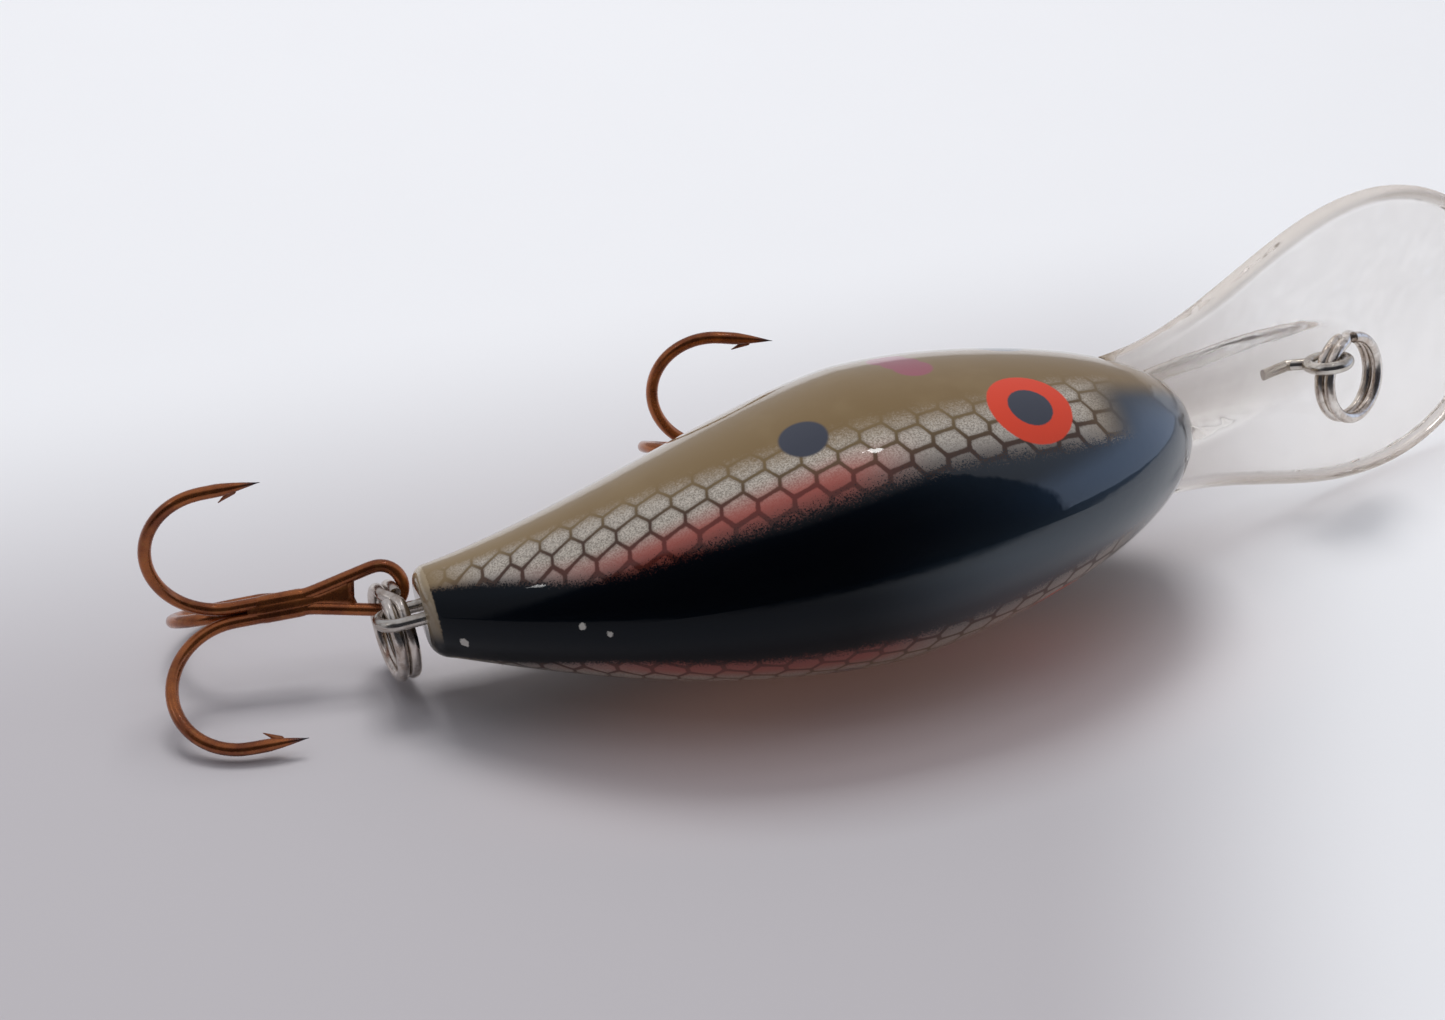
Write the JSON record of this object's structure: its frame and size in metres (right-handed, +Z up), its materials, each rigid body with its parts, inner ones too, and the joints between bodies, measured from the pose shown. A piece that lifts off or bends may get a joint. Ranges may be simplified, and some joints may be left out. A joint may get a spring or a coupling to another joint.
{
  "type": "crankbait lure",
  "caption": "Deep diving crankbait: rounded two-half body, clear paddle lip with a wire line tie, belly and tail treble hooks on split rings, ballast and rattles inside.",
  "frame": {"origin": "centre of the line-tie eye, where a line or snap is attached", "axes": "+X along the lure towards the lip's free end, +Y towards the belly side, +Z up from the table the lure lies on. The lure lies on its right side, rolled 15 degrees about its own length so that its back turns upward, and then pitched 4.9 degrees nose up."},
  "size_m": [0.0977, 0.035, 0.0203],
  "materials": {
    "painted_body": "painted scale pattern under clear gloss, dark back and olive sides",
    "clear_lip": "clear moulded polycarbonate",
    "steel_wire": "bright stainless wire",
    "plated_ring": "nickel plated spring wire",
    "bronze_hook": "bronzed carbon steel wire with dark points",
    "hook_braze": "brazing alloy under the same bronzing",
    "lead_alloy": "dull cast lead alloy",
    "ball_steel": "polished bearing steel"
  },
  "bodies": {
    "lure_body": {"left_body_shell": "painted_body", "right_body_shell": "painted_body", "diving_lip": "clear_lip", "line_tie_wire": "steel_wire", "belly_hook_hanger": "steel_wire", "tail_hook_hanger": "steel_wire", "ballast_weight": "lead_alloy"},
    "tie_ring": {"line_tie_ring": "plated_ring"},
    "belly_ring": {"belly_split_ring": "plated_ring"},
    "belly_treble": {"belly_double_hook": "bronze_hook", "belly_single_hook": "bronze_hook", "belly_hook_braze": "hook_braze"},
    "tail_ring": {"tail_split_ring": "plated_ring"},
    "tail_treble": {"tail_double_hook": "bronze_hook", "tail_single_hook": "bronze_hook", "tail_hook_braze": "hook_braze"},
    "front_rattle": {"front_rattle_ball": "ball_steel"},
    "rear_rattle": {"rear_rattle_ball": "ball_steel"}
  },
  "joints": [
    {"name": "tie_ring_swing", "type": "hinge", "parent": "lure_body", "child": "tie_ring", "pos_m": [0, 0, 0], "axis": [-0.0825, 0.2588, 0.9624], "range_deg": [-190, 2]},
    {"name": "belly_ring_swing", "type": "hinge", "parent": "lure_body", "child": "belly_ring", "pos_m": [-0.0325, 0.00718, -0.00472], "axis": [-0.0825, 0.2588, 0.9624], "range_deg": [-55, 2]},
    {"name": "belly_treble_swing", "type": "hinge", "parent": "belly_ring", "child": "belly_treble", "pos_m": [-0.03209, 0.00844, -0.00645], "axis": [0.1935, 0.8458, -0.4972], "range_deg": [-70, 45]},
    {"name": "tail_ring_swing", "type": "hinge", "parent": "lure_body", "child": "tail_ring", "pos_m": [-0.06458, -0.00202, -0.00499], "axis": [-0.0825, 0.2588, 0.9624], "range_deg": [0, 112]},
    {"name": "tail_treble_swing", "type": "hinge", "parent": "tail_ring", "child": "tail_treble", "pos_m": [-0.06494, 0.00118, -0.00476], "axis": [0.1541, 0.8534, -0.498], "range_deg": [-72, 85]},
    {"name": "front_rattle_slide", "type": "slide", "parent": "lure_body", "child": "front_rattle", "axis": [-0.0825, 0.2588, 0.9624], "range_m": [0, 0.00589]},
    {"name": "rear_rattle_slide", "type": "slide", "parent": "lure_body", "child": "rear_rattle", "axis": [-0.0825, 0.2588, 0.9624], "range_m": [0, 0.00589]}
  ]
}
